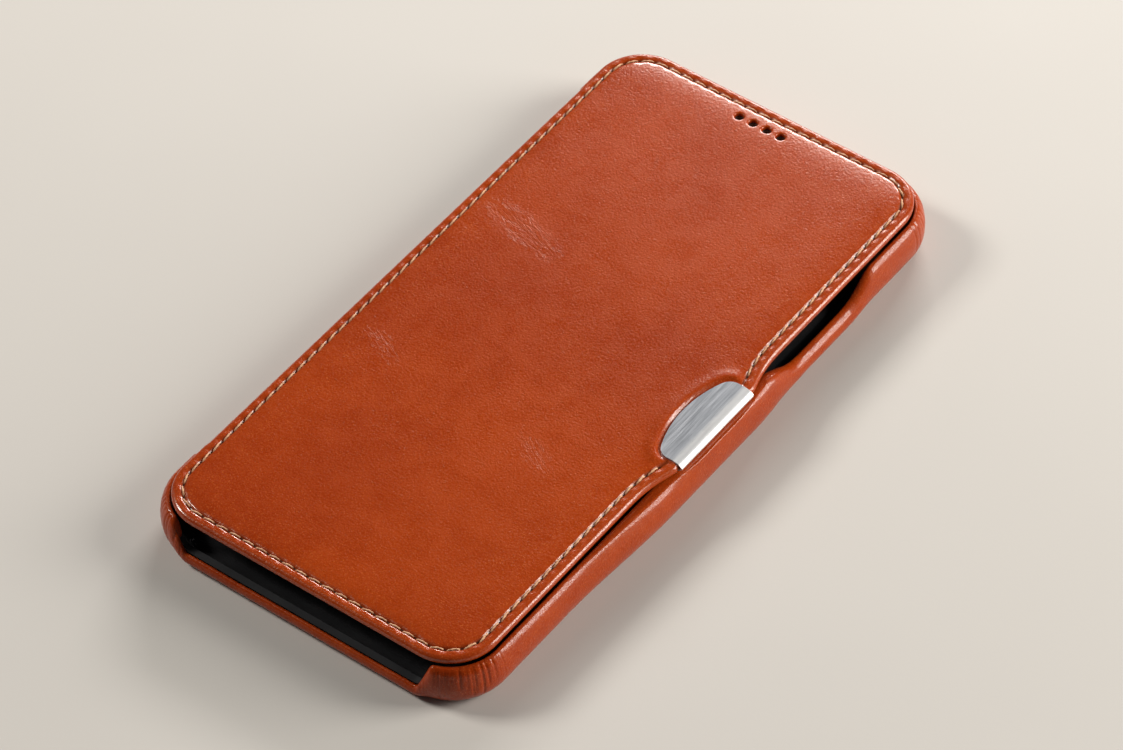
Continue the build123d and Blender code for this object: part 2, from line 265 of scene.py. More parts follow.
class Paint:
    # one material and its nodes
    def __init__(self, name):
        self.material = bpy.data.materials.new(name)
        self.material.use_nodes = True
        self.tree = self.material.node_tree
        self.tree.nodes.clear()

    def node(self, kind, settings=None, values=None, give=0):
        made = self.tree.nodes.new(kind)
        for key, value in (settings or {}).items():
            setattr(made, key, value)
        for key, value in (values or {}).items():
            if isinstance(value, Signal):
                self.tree.links.new(value.socket, made.inputs[key])
            else:
                made.inputs[key].default_value = value
        return None if give is None else Signal(self, made.outputs[give])

    def place(self, stretch=(1, 1, 1), turn=0.0, move=(0, 0, 0)):
        # the point on the piece in millimetres, moved, turned about Z and stretched
        spot = self.node("ShaderNodeTexCoord", give="Object")
        spot = self.node("ShaderNodeVectorMath", {"operation": "SCALE"}, {0: spot, "Scale": 1000.0})
        spot = self.node("ShaderNodeVectorMath", {"operation": "SUBTRACT"}, {0: spot, 1: move})
        spot = self.node("ShaderNodeMapping", {"vector_type": "TEXTURE"},
                         {"Vector": spot, "Rotation": (0, 0, math.radians(turn))})
        return self.node("ShaderNodeVectorMath", {"operation": "MULTIPLY"}, {0: spot, 1: stretch})

    def noise(self, spot, scale, detail=3.0, rough=0.55, bend=0.0):
        return self.node("ShaderNodeTexNoise", None, {
            "Vector": spot, "Scale": scale, "Detail": detail, "Roughness": rough, "Distortion": bend}, "Fac")

    def cells(self, spot, scale, feature="F1"):
        return self.node("ShaderNodeTexVoronoi", {"feature": feature}, {"Vector": spot, "Scale": scale}, "Distance")

    def between(self, value, low, high, first=0.0, last=1.0):
        return self.node("ShaderNodeMapRange", {"interpolation_type": "SMOOTHSTEP"}, {
            "Value": value, "From Min": low, "From Max": high, "To Min": first, "To Max": last})

    def blendColour(self, share, a, b):
        return self.node("ShaderNodeMix", {"data_type": "RGBA"}, {0: share, 6: a, 7: b}, 2)

    def bump(self, height, distance, strength=1.0, under=None):
        values = {"Height": height, "Distance": distance * mm, "Strength": strength}
        if under is not None:
            values["Normal"] = under
        return self.node("ShaderNodeBump", None, values)

    def finish(self, **values):
        surface = self.node("ShaderNodeBsdfPrincipled", None, values)
        self.node("ShaderNodeOutputMaterial", None, {0: surface}, None)
        return self.material


# the finishes

leatherLook = {
    "deep": (0.262, 0.0240, 0.0008, 1),
    "warm": (0.355, 0.0420, 0.0016, 1),
    # rubAndSheen: a lighter orange, partly rubbed wear and partly painted sheen
    "rubAndSheen": (0.52, 0.095, 0.020, 1),
    "pebble": 2.1,  # grains in a millimetre
    "pebbleDepth": 0.072,
    # paintedGlint: a bright pinkish colour for the grain's glints, a painted highlight
    "paintedGlint": (0.62, 0.155, 0.035, 1),
}


def leather(name, polish, seam=False, creases=()):
    paint = Paint(name)
    spot = paint.place()
    broad = paint.noise(spot, 0.022, 2.0, 0.5)
    cloudy = paint.noise(spot, 0.16, 4.0, 0.6, 0.4)
    fine = paint.noise(spot, 1.9, 3.0, 0.65)
    speck = paint.noise(spot, 3.6, 2.0, 0.6)
    tone = paint.between(broad * 0.6 + cloudy * 0.4, 0.28, 0.74)
    colour = paint.blendColour(tone, leatherLook["deep"], leatherLook["warm"])
    # fine lighter mottling: partly tone that varies at random, partly painted speckle of sheen
    mottle = paint.between(fine * 0.55 + speck * 0.45, 0.44, 0.64)
    colour = paint.blendColour(mottle * 0.10, colour, leatherLook["rubAndSheen"])
    # bright dots painted into the colour as glints of the grain: painted highlight
    glintDots = paint.between(paint.noise(spot, 4.2, 1.0, 0.5), 0.60, 0.70)
    colour = paint.blendColour(glintDots * 0.42, colour, leatherLook["paintedGlint"])
    grain = paint.cells(spot, leatherLook["pebble"], "SMOOTH_F1")
    pores = paint.cells(spot, 0.9)
    pits = paint.between(pores, 0.0, 0.11, 1.0, 0.0)
    height = (0.55 - grain) * 0.8 + fine * 0.9 + speck * 0.5 - pits * 0.3
    normal = paint.bump(height, leatherLook["pebbleDepth"], 0.8)
    dull = 0.10 * (1 - polish)
    rough = paint.between(fine * 0.6 + cloudy * 0.4, 0.3, 0.7, 0.23 + dull, 0.34 + dull)
    # the polish lies on the tops of the grain
    wax = paint.between(speck * 0.6 + fine * 0.4, 0.44, 0.60, 0.25 * polish, polish)
    for middle, size, turn, depth, pitch in creases:
        here = paint.place((1 / size[0], 1 / size[1], 1 / size[0]), turn, middle)
        away = paint.node("ShaderNodeVectorMath", {"operation": "LENGTH"}, {0: here}, "Value")
        ragged = paint.noise(spot, 0.35, 3.0, 0.6)
        patch = paint.between(away + (ragged - 0.5) * 0.9, 0.25, 1.0, 1.0, 0.0)
        run = paint.place((0.16 / pitch, 1.0 / pitch, 0.1), turn, middle)
        folds = paint.noise(run, 1.0, 2.5, 0.5, 0.6)
        folds = paint.node("ShaderNodeMath", {"operation": "ABSOLUTE"}, {0: folds - 0.5})
        lines = paint.between(folds, 0.0, 0.05, 1.0, 0.0)
        normal = paint.bump((1 - lines) * patch, depth, 0.9, normal)
        rough = rough + patch * lines * 0.03
        colour = paint.blendColour(patch * lines * 0.10, colour, leatherLook["rubAndSheen"])
    if seam:
        marks = paint.node("ShaderNodeUVMap", {"uv_map": "seam"})
        along = paint.node("ShaderNodeSeparateXYZ", None, {0: marks}, "X")
        across = paint.node("ShaderNodeSeparateXYZ", None, {0: marks}, "Y")
        phase = paint.node("ShaderNodeMath", {"operation": "FRACT"}, {0: along + 0.5})
        dx = (phase - 0.5) * seamFacts["pitch"]
        reach = paint.node("ShaderNodeMath", {"operation": "SQRT"}, {0: dx * dx + across * across * 1.6})
        hole = paint.between(reach, 0.17, 0.40, 1.0, 0.0)
        side = paint.node("ShaderNodeMath", {"operation": "ABSOLUTE"}, {0: across})
        band = paint.between(side, 0.25, 1.5, 1.0, 0.0) * paint.between(across, 0.3, -0.3, 0.25, 1.0)
        tug = paint.node("ShaderNodeMath", {"operation": "COSINE"}, {0: along * math.tau})
        # the needle holes painted near black: painted shade inside the holes
        colour = paint.blendColour(hole, colour, (0.012, 0.003, 0.001, 1))
        # darker along the seam's groove: painted shade
        grooveShade = paint.between(side, 0.10, 0.55, 0.55, 0.0)
        colour = paint.blendColour(grooveShade, colour, (0.10, 0.018, 0.003, 1))
        normal = paint.bump(0 - tug * band, 0.05, 0.8, normal)
        rough = rough + hole * 0.4
    return paint.finish(**{"Base Color": colour, "Roughness": rough, "Normal": normal,
                           "IOR": 1.47, "Specular IOR Level": 0.28 * polish, "Specular Tint": (1.0, 0.78, 0.60, 1),
                           "Coat Weight": wax, "Coat Roughness": 0.10})


def microfibre(name):
    paint = Paint(name)
    spot = paint.place()
    nap = paint.noise(spot, 3.5, 4.0, 0.7)
    drift = paint.noise(paint.place((0.12, 0.05, 0.12), 18), 1.0, 3.0, 0.5, 0.8)
    colour = paint.blendColour(paint.between(nap * 0.6 + drift * 0.4, 0.35, 0.68),
                               (0.006, 0.006, 0.007, 1), (0.030, 0.029, 0.030, 1))
    return paint.finish(**{"Base Color": colour, "Roughness": paint.between(drift, 0.3, 0.7, 0.86, 0.97),
                           "Normal": paint.bump(nap, 0.08, 0.7), "Sheen Weight": 0.25, "Sheen Roughness": 0.4,
                           "Specular IOR Level": 0.25})


def mouldedPlastic(name):
    paint = Paint(name)
    spot = paint.place()
    spark = paint.cells(spot, 3.2)
    haze = paint.noise(spot, 0.12, 3.0, 0.55)
    colour = paint.blendColour(haze, (0.010, 0.010, 0.011, 1), (0.021, 0.021, 0.022, 1))
    return paint.finish(**{"Base Color": colour, "Roughness": paint.between(haze, 0.3, 0.7, 0.52, 0.66),
                           "Normal": paint.bump(spark, 0.02, 0.5), "Specular IOR Level": 0.35})


def brushedSteel(name):
    paint = Paint(name)
    hair = paint.noise(paint.place((11.0, 0.16, 11.0)), 1.0, 5.0, 0.75)
    faint = paint.noise(paint.place((1.6, 0.05, 1.6)), 1.0, 2.0, 0.5)
    across = paint.node("ShaderNodeSeparateXYZ", None, {0: paint.place()}, "X")
    # fold: the rounded nose, painted whiter and less metallic below; partly a polished band and partly a painted
    # highlight
    fold = paint.between(across, clasp["foldX"] - 0.2, clasp["foldX"] + 0.9)
    lines = hair * 0.75 + faint * 0.25
    flatTone = paint.blendColour(paint.between(lines, 0.34, 0.66), (0.32, 0.335, 0.36, 1), (0.52, 0.535, 0.56, 1))
    colour = paint.blendColour(fold, flatTone, (0.80, 0.795, 0.785, 1))
    rough = paint.between(lines, 0.3, 0.7, 0.30, 0.44)
    return paint.finish(**{"Base Color": colour, "Metallic": 0.80 - fold * 0.15, "Roughness": rough,
                           "Normal": paint.bump(lines * (1 - fold * 0.7), 0.006, 0.4)})


def nickelPlate(name):
    paint = Paint(name)
    spot = paint.place()
    haze = paint.noise(spot, 0.8, 4.0, 0.6)
    colour = paint.blendColour(haze, (0.50, 0.49, 0.46, 1), (0.68, 0.66, 0.62, 1))
    return paint.finish(**{"Base Color": colour, "Metallic": 1.0, "Normal": paint.bump(haze, 0.01, 0.4),
                           "Roughness": paint.between(haze, 0.3, 0.7, 0.18, 0.34)})


def pressedBoard(name):
    paint = Paint(name)
    spot = paint.place()
    fibre = paint.noise(paint.place((2.2, 0.5, 1.0), 25), 1.0, 4.0, 0.7, 1.2)
    speck = paint.cells(spot, 1.3)
    colour = paint.blendColour(paint.between(fibre, 0.35, 0.65), (0.19, 0.165, 0.13, 1), (0.34, 0.30, 0.245, 1))
    return paint.finish(**{"Base Color": colour, "Roughness": paint.between(speck, 0.0, 0.8, 0.82, 0.94),
                           "Normal": paint.bump(fibre, 0.05, 0.6)})


def openFoam(name):
    paint = Paint(name)
    spot = paint.place()
    bubbles = paint.cells(spot, 2.8)
    colour = paint.blendColour(paint.between(bubbles, 0.05, 0.6), (0.030, 0.030, 0.032, 1), (0.085, 0.085, 0.09, 1))
    return paint.finish(**{"Base Color": colour, "Roughness": paint.between(bubbles, 0.0, 0.7, 0.95, 0.85),
                           "Normal": paint.bump(bubbles, 0.1, 0.8)})


def waxedThread(name):
    paint = Paint(name)
    spot = paint.place()
    fuzz = paint.noise(spot, 9.0, 3.0, 0.7)
    dye = paint.noise(spot, 0.5, 2.0, 0.5)
    colour = paint.blendColour(paint.between(fuzz * 0.6 + dye * 0.4, 0.35, 0.65),
                               (0.40, 0.170, 0.070, 1), (0.74, 0.42, 0.22, 1))
    return paint.finish(**{"Base Color": colour, "Roughness": paint.between(fuzz, 0.3, 0.7, 0.5, 0.68),
                           "Normal": paint.bump(fuzz, 0.03, 0.6), "Sheen Weight": 0.15})


def paleFloor(name):
    paint = Paint(name)
    spot = paint.place()
    haze = paint.noise(spot, 0.01, 3.0, 0.5)
    colour = paint.blendColour(haze, (0.53, 0.500, 0.455, 1), (0.565, 0.535, 0.490, 1))
    return paint.finish(**{"Base Color": colour, "Roughness": 0.75,
                           "Normal": paint.bump(paint.noise(spot, 1.5, 3.0), 0.05, 0.15)})


# the cover's leather

cover = {
    "left": -38.6, "right": 38.9, "halfY": 78.95, "corner": 10.6,
    "tabX": 41.2, "tabHalf": 12.3, "tabStarts": 24.0,
    "under": 10.3, "edgeTop": 12.0, "crown": 0.60, "crownWidth": 2.7,
    "ringDepth": 4.4, "spineHalf": 61.7, "spineRound": 1.3,
    "meetZ": 6.1,
}
seamFacts = {"inset": 2.4, "pitch": 3.29, "perStitch": 8, "depth": 0.36, "width": 0.36, "hiddenHalf": 12.9}
spineFacts = {"centreX": -18.945, "centreZ": 0.791, "radius": 22.11,
              "slotLow": 18.0, "slotHigh": 56.0, "slotRadius": 2.5}
earHoles = {"count": 4, "pitch": 3.5, "midX": -0.8, "y": 73.0, "radius": 1.0}
earMiddles = [earHoles["midX"] + (i - (earHoles["count"] - 1) / 2) * earHoles["pitch"]
              for i in range(earHoles["count"])]
clasp = {"y": -0.2, "half": 12.0, "apexX": 33.1, "arc": 26.0, "corner": 3.0, "thick": 0.4,
         "foldX": 39.0, "foldZ": 11.15, "foldRadius": 1.25, "nose": 2.6, "legX": 36.6, "legCorner": 2.0}


def coverSide(y):
    reach = cover["tabX"] - cover["right"]
    total = 0
    for shift in np.linspace(-2.4, 2.4, 9):  # an average, so that the tab has no sharp turn
        away = np.abs(y - clasp["y"] + shift)
        t = np.clip((cover["tabStarts"] - away) / (cover["tabStarts"] - cover["tabHalf"]), 0, 1)
        total = total + cover["right"] + reach * t ** 1.9
    return total / 9


coverTrack = Track(roundPlan(cover["left"], coverSide, cover["right"], cover["halfY"], cover["corner"]))


def seamLine(samples):
    # lengths on the outline, the points of the seam there, how far along the seam they are, and its length
    s = np.linspace(0, coverTrack.length, samples, endpoint=False)
    seam = coverTrack.at(s) - seamFacts["inset"] * coverTrack.outward(s)
    run = np.concatenate([[0], np.cumsum(np.linalg.norm(np.diff(seam, axis=0), axis=1))])
    return s, seam, run, run[-1] + np.linalg.norm(seam[0] - seam[-1])


def claspEdge(away):
    # x of the plate's free edge at a distance from its middle line
    roundStart = clasp["half"] - clasp["corner"]
    centre = clasp["apexX"] + clasp["arc"]
    cornerX = centre - math.sqrt((clasp["arc"] - clasp["corner"]) ** 2 - roundStart ** 2)
    touch = roundStart * clasp["arc"] / (clasp["arc"] - clasp["corner"])
    away = np.clip(np.abs(away), 0, clasp["half"])
    wide = centre - np.sqrt(clasp["arc"] ** 2 - away ** 2)
    tight = cornerX - np.sqrt(np.maximum(clasp["corner"] ** 2 - (away - roundStart) ** 2, 0))
    return np.where(away < touch, wide, tight)


def claspRing():
    away = np.concatenate([np.linspace(-1, 1, 121) * 10.2,
                           10.2 + 1.8 * np.sin(np.linspace(0, 1, 16)[1:] * math.pi / 2)])
    away = np.sort(np.concatenate([away, -away[away > 10.2]]))
    edge = np.column_stack([claspEdge(away), away + clasp["y"]])
    ends = np.array([[45.0, clasp["half"] + clasp["y"]], [45.0, clasp["y"] - clasp["half"]]])
    return np.concatenate([edge, ends])


def claspGap(points):
    # distance from the plate's outline, negative under the plate
    ring = claspRing()
    fine = np.concatenate([line(ring[i], ring[(i + 1) % len(ring)], 12) for i in range(len(ring))])
    gap = np.full(len(points), 1e9)
    near = (points[:, 0] > 22) & (np.abs(points[:, 1]) < 24)
    if near.any():
        part = points[near]
        d = np.linalg.norm(part[:, None] - fine[None], axis=2).min(1)
        gap[near] = np.where(within(part, ring), -d, d)
    return gap


def creaseDip(x, y):
    # shallow hollows where the panel has been bent
    dip = np.zeros(np.shape(x))
    for (cx, cy), length, width, turn, depth in panelHollows:
        c, s = math.cos(math.radians(turn)), math.sin(math.radians(turn))
        along = ((x - cx) * c + (y - cy) * s) / length
        across = ((y - cy) * c - (x - cx) * s) / width
        dip = dip + depth * np.exp(-along ** 4 - across ** 2) * (1 - 1.2 * across)
    return dip


panelHollows = [((-22.3, 20.8), 12.5, 2.2, -15.0, 0.045), ((-26.5, -20.5), 7.0, 2.6, -20.0, 0.022),
                ((16.0, -26.5), 7.5, 2.4, -28.0, 0.022), ((-4.0, -38.0), 10.0, 3.4, -12.0, 0.016)]


def coverTop(depth, x, y, phase=None):
    # height of the leather's face at a depth inside the outline
    z = cover["edgeTop"] + 0.05 * np.sin(np.clip((depth - 0.5) / 1.5, 0, 1) * math.pi)
    z = z - 0.85 * (1 - np.sqrt(1 - np.clip((0.9 - depth) / 0.9, 0, 1) ** 2))
    z = z + cover["crown"] * (1 - np.exp(-np.clip(depth - 2.45, 0, None) / cover["crownWidth"]))
    hidden = seamFacts["hiddenHalf"]
    freeSeam = 1 - ease(hidden + 0.2, hidden - 0.8, np.abs(y - clasp["y"])) * (x > 0)
    off = depth - seamFacts["inset"]
    groove = seamFacts["depth"] * np.exp(-(off / seamFacts["width"]) ** 2)
    if phase is not None:
        tug = np.cos(phase * math.tau)  # 1 at a needle hole
        pull = np.where(off < 0, 0.065, 0.018)
        groove = groove * (1 + 0.32 * tug) + pull * tug * np.exp(-((np.abs(off) - 0.75) / 0.5) ** 2)
    z = z - groove * freeSeam
    z = z + waves(x, y, 4, 46) * 0.035 * ease(5, 14, depth) + waves(x, y, 9, 15) * 0.010 * ease(3, 8, depth)
    z = z - creaseDip(x, y)
    gap = claspGap(np.column_stack([np.ravel(x), np.ravel(y)])).reshape(np.shape(x))
    near = np.clip(gap, -1, 30)
    z = z + 0.26 * np.exp(-((near - 1.7) / 1.25) ** 2) * ease(2.9, 4.6, depth)
    bed = cover["edgeTop"] - 0.03
    return np.where(near < 1.2, mix(np.minimum(z, bed), z, ease(0.12, 1.15, near)), z)


def spineX(z):
    return spineFacts["centreX"] - np.sqrt(spineFacts["radius"] ** 2 - (z - spineFacts["centreZ"]) ** 2)


def slotReach(y):
    # half height of the side-key slot at y
    middle = (spineFacts["slotLow"] + spineFacts["slotHigh"]) / 2
    flat = (spineFacts["slotHigh"] - spineFacts["slotLow"]) / 2 - spineFacts["slotRadius"]
    past = np.clip((np.abs(y - middle) - flat) / spineFacts["slotRadius"], 0, 1)
    return spineFacts["slotRadius"] * np.sqrt(1 - past ** 2)


def evenly(points, count):
    # the same broken line with count points at even steps
    step = np.linalg.norm(np.diff(points, axis=0), axis=1)
    sums = np.concatenate([[0], np.cumsum(step)])
    where = np.linspace(0, sums[-1], count)
    return np.stack([np.interp(where, sums, points[:, i]) for i in range(points.shape[1])], 1)


def bowed(a, control, b, count=12):
    t = np.linspace(0, 1, count)[:, None]
    return (1 - t) ** 2 * np.array(a) + 2 * t * (1 - t) * np.array(control) + t * t * np.array(b)


def upperSpinePath(endZ, inside, top, under):
    # from the cover's face over the fold and down the spine, then back up its inner side
    z = np.linspace(10.7, endZ + 0.12, 12)
    down = np.column_stack([spineX(z), z])
    over = bowed((-37.3, top), (-38.35, top - 0.02), (spineX(10.7), 10.7))
    outer = np.concatenate([over, down[1:], [[spineX(endZ) + 0.06, endZ + 0.03]]])
    z = np.linspace(endZ, 9.6, 12)
    back = np.column_stack([spineX(z) + inside, z])
    inner = np.concatenate([[[spineX(endZ) + inside - 0.1, endZ]], back,
                            bowed(back[-1], (-38.1, under), (-36.6, under))[1:]])
    return outer, inner


def makeFrontLeather(finish):
    s, _, run, total = seamLine(6000)
    pitchCount = round(total / seamFacts["pitch"])
    count = pitchCount * seamFacts["perStitch"]
    # stations at even steps along the seam itself
    s = np.interp(np.arange(count) / count * total, np.append(run, total), np.append(s, coverTrack.length))
    phase = np.arange(count) / seamFacts["perStitch"]
    edge, out = coverTrack.at(s), coverTrack.outward(s)
    under = cover["under"]
    pulled = 0.3 * ease(12.8, 12.2, np.abs(edge[:, 1] - clasp["y"])) * (edge[:, 0] > 0)
    topDepths = np.array([4.4, 4.05, 3.7, 3.4, 3.15, 2.95, 2.78, 2.62, 2.48, 2.34, 2.2, 2.05, 1.88, 1.68, 1.45, 1.2])
    freeDepths = [1.0, 0.8, 0.62, 0.45, 0.3, 0.18, 0.09, 0.03]
    freeOuter = [(d, float(coverTop(np.array(d), np.array(0.0), np.array(60.0)))) for d in freeDepths]
    freeOuter += [(0.0, 11.05), (0.0, 10.9), (0.03, 10.68), (0.1, 10.47), (0.2, 10.31), (0.34, 10.2), (0.44, 10.17)]
    freeInner = [(0.5, 10.2), (0.58, under), (3.2, under)]
    sections, marks = [], []
    for i in range(count):
        x, y = edge[i]
        share = float(ease(cover["spineHalf"], cover["spineHalf"] - cover["spineRound"], abs(y))) if x < 0 else 0.0
        depth = topDepths + pulled[i]
        place = edge[i] - out[i] * depth[:, None]
        z = coverTop(depth, place[:, 0], place[:, 1], np.full(len(depth), phase[i]))
        section = [np.column_stack([place, z])]
        outer, inner = evenly(np.array(freeOuter), 26), evenly(np.array(freeInner), 22)
        outer3 = np.column_stack([edge[i] - out[i] * (outer[:, :1] + pulled[i]), outer[:, 1]])
        inner3 = np.column_stack([edge[i] - out[i] * (inner[:, :1] + pulled[i]), inner[:, 1]])
        if share > 0:
            endZ = cover["meetZ"] + float(slotReach(y)) * (abs(y) < 61)
            a, b = upperSpinePath(endZ, 0.8, z[-1] - 0.004, under)
            a, b = evenly(a, 26), evenly(b, 22)
            outer3, inner3 = mix(outer3, atLevel(a, y), share), mix(inner3, atLevel(b, y), share)
        section += [outer3, inner3]
        back = [(3.26, 10.7), (3.3, 11.12), (3.86, 11.14), (3.92, 11.5), (4.4, 11.53)]
        back = np.array([(d + pulled[i], h) for d, h in back])
        section.append(np.column_stack([edge[i] - out[i] * back[:, :1], back[:, 1]]))
        section = np.concatenate(section)
        sections.append(section)
        across = np.full(len(section), 9.0)
        across[:len(topDepths)] = topDepths - seamFacts["inset"]
        if x > 0 and abs(y - clasp["y"]) < seamFacts["hiddenHalf"]:
            across[:] = 9.0
        marks.append(np.column_stack([np.full(len(section), phase[i]), across]))
    sections, marks = np.array(sections), np.array(marks)
    pattern = Pattern()
    rows = pattern.rows(sections, True, marks)
    # ear holes, from the face down through the leather
    face, backs = [], []
    turn = np.linspace(0, math.tau, 28, endpoint=False)
    around = np.column_stack([np.cos(turn), np.sin(turn)])
    for x in earMiddles:
        loops = []
        for radius, drop in ((1.5, 0.0), (1.3, 0.02), (1.14, 0.09), (1.04, 0.22), (1.0, 0.4), (1.0, 0.7)):
            ring = np.array([x, earHoles["y"]]) + around * radius * earHoles["radius"]
            level = coverTop(coverTrack.distance(ring), ring[:, 0], ring[:, 1]) - drop
            loops.append(pattern.add(np.column_stack([ring, level]), [(0.0, 9.0)] * len(ring)))
        ring = np.array([x, earHoles["y"]]) + around * earHoles["radius"]
        loops.append(pattern.add(np.column_stack([ring, np.full(len(ring), 11.53)])))
        for a, b in zip(loops, loops[1:]):
            pattern.strip(a, b)
        face.append(loops[0])
        backs.append(loops[-1])
    net = grid((-36, 37, 1.2), (-76, 77, 1.2))  # finer round the clasp and over the deep crease
    net = net[~((net[:, 0] > 27) & (np.abs(net[:, 1]) < 17))]
    net = net[~((net[:, 0] < -8) & (net[:, 0] > -36) & (np.abs(net[:, 1] - 20.8) < 7))]
    net = np.concatenate([net, grid((27.2, 38, 0.42), (-17, 17.1, 0.42)), grid((-34.0, -8, 0.6), (14.2, 27.4, 0.6))])
    depth = coverTrack.distance(net)
    net = net[depth > cover["ringDepth"] + 0.35]
    clear = np.ones(len(net), bool)
    for loop in face:
        middle = np.mean([pattern.points[i][:2] for i in loop], 0)
        clear &= np.linalg.norm(net - middle, axis=1) > 1.75
    net = net[clear]

    def top(points):
        return coverTop(coverTrack.distance(points), points[:, 0], points[:, 1])

    pattern.fill(rows[0], face, net, top)
    coarse = grid((-30, 31, 10.0), (-70, 65, 10.0))
    pattern.fill(rows[-1], backs, coarse, lambda p: np.full(len(p), 11.53))
    piece = pattern.make("frontLeather", finish, 70, pitchCount)
    return piece, pitchCount


# the lower half of the spine and its fold

foot = {"fromX": -35.85, "thick": 0.72, "half": 61.35, "round": 0.9}


def makeSpineFoot(finish):
    rows = []
    y = np.concatenate([np.linspace(-foot["half"], -59.5, 10), np.linspace(-58.8, 17.2, 60),
                        np.linspace(17.6, 56.4, 110), np.linspace(57.0, 59.0, 4),
                        np.linspace(59.5, foot["half"], 10)])
    for level in y:
        past = float(np.clip((abs(level) - foot["half"] + foot["round"]) / foot["round"], 0, 1))
        trim = foot["round"] * (1 - math.sqrt(1 - past ** 2))
        endZ = cover["meetZ"] - float(slotReach(level)) * (abs(level) < 59) - trim
        z = np.linspace(1.6, endZ - 0.1, 14)
        under = np.array([(foot["fromX"], 0.0), (-37.2, 0.0), (-38.6, 0.0), (-39.5, 0.0)])
        turn = bowed((-39.9, 0.0), (-41.12, 0.0), (spineX(1.6), 1.6), 12)
        outer = np.concatenate([under, turn[:-1], np.column_stack([spineX(z), z]),
                                [[spineX(endZ) + 0.06, endZ - 0.02]]])
        z = np.linspace(endZ, 1.7, 12)
        inner = np.concatenate([[[spineX(endZ) + 0.7, endZ]], np.column_stack([spineX(z) + 0.8, z]),
                                bowed((spineX(1.7) + 0.8, 1.5), (-40.2, 0.76), (-39.3, foot["thick"]), 6),
                                [[-37.5, foot["thick"]], [foot["fromX"], foot["thick"]]]])
        loop = np.concatenate([outer, inner])
        rows.append(atLevel(loop, level))
    return madeAlongY(rows, "spineLeather", finish)


# the leather round the tray

tray = {
    "halfX": 41.3, "halfY": 81.2, "corner": 12.75, "swellX": 42.8, "rim": 9.84, "crest": -2.0,
    "belly": 5.0, "base": 3.8, "bottomInset": 5.8, "pocketX": 38.9, "wallEnd": 61.66,
    "portSill": 3.15, "pleatDepth": 0.25, "pleatSeed": 12,
}
trayWindow = {"x": 25.7, "y": 59.3, "width": 15.8, "height": 29.8}


def traySide(y):
    low, high = ease(-48, -16, y), ease(32, 12, y)
    return tray["halfX"] + (tray["swellX"] - tray["halfX"]) * low * high


trayTrack = Track(roundPlan(-tray["halfX"], traySide, tray["halfX"], tray["halfY"], tray["corner"]))


def rimHeight(x, y):
    # the wall's top, lower at the power key and at the port
    h = tray["rim"] + 0.05 * float(waves(x, y, 3, 34))
    if x > 30 and 18 < y < 56:
        known = [18.0, 19.6, 21.2, 23.5, 25.6, 27.6, 30.0, 37.0, 44.0, 46.5, 48.4, 50.3, 52.2, 53.6, 55.0, 56.0]
        level = [9.84, 9.6, 8.9, 7.65, 6.35, 5.55, 5.22, 5.15, 5.2, 5.42, 6.0, 7.1, 8.45, 9.3, 9.78, 9.84]
        h = min(h, float(np.interp(y, known, level)))
    if y < -75 and abs(x) < 34:
        drop = ease(-33.6, -28.2, x) * ease(32.4, 28.1, x)
        h = mix(h, tray["portSill"] + 0.06 * float(waves(x, y, 8, 20)), float(drop))
    if x < -30 and abs(y) < 63.7:
        past = (63.7 - abs(y)) / (63.7 - tray["wallEnd"])
        h = 4.9 + (h - 4.9) * math.sqrt(max(1 - min(past, 1) ** 2, 0))
    return h


def traySection(h, lip, crest, pleat, reach=0.0):
    # (outward, height) round the leather's skin, from the pocket's edge over the rim and under
    belly = min(tray["belly"], h * 0.54)
    t = np.radians(np.linspace(0, 90, 12))
    points = [(lip, h - 0.80), (lip - 0.02, h - 0.42), (lip + 0.06, h - 0.16), (lip + 0.24, h - 0.03)]
    points += [(mix(lip + 0.24, crest, 0.5), h + 0.0)]
    points += [(crest * (1 - math.sin(a)), belly + (h - belly) * math.cos(a)) for a in t]
    points += [(-tray["base"] * (1 - max(math.cos(a), 0) ** 0.84), belly * (1 - math.sin(a) ** 0.86)) for a in t[1:]]
    points = np.array(points)
    fold = ease(reach, reach + 2.2, points[:, 1]) * ease(h + 0.35, h - 0.5, points[:, 1])
    points[:, 0] += pleat * fold * (np.arange(len(points)) > 4)
    points = np.concatenate([points, [(-4.6, 0.0), (-tray["bottomInset"], 0.0)]])
    back = [(-tray["bottomInset"], 0.76), (-4.6, 0.76)]
    back += [(-1.06 - 2.9 * (1 - max(math.cos(a), 0)), 0.76 + (belly - 0.76) * (1 - math.sin(a))) for a in t[::-2]]
    back += [(-1.06, mix(belly, h - 0.95, 0.5)), (-1.07, h - 0.95),
             (min(-1.1, mix(-1.1, lip, 0.12)), h - 0.86), (mix(-1.12, lip, 0.5), h - 0.82)]
    return points, np.array(back)


def flatSection(front, back):
    # where there is no wall the skin ends as a strip beside the spine's leather
    edge = foot["fromX"] + tray["halfX"]
    rim = np.array([(-edge, 0.76), (-edge, 0.0), (-tray["bottomInset"], 0.0)])
    roof = np.array([(-tray["bottomInset"], 0.76), (-edge, 0.76)])
    return evenly(rim, front), evenly(roof, back + 1)[:back]


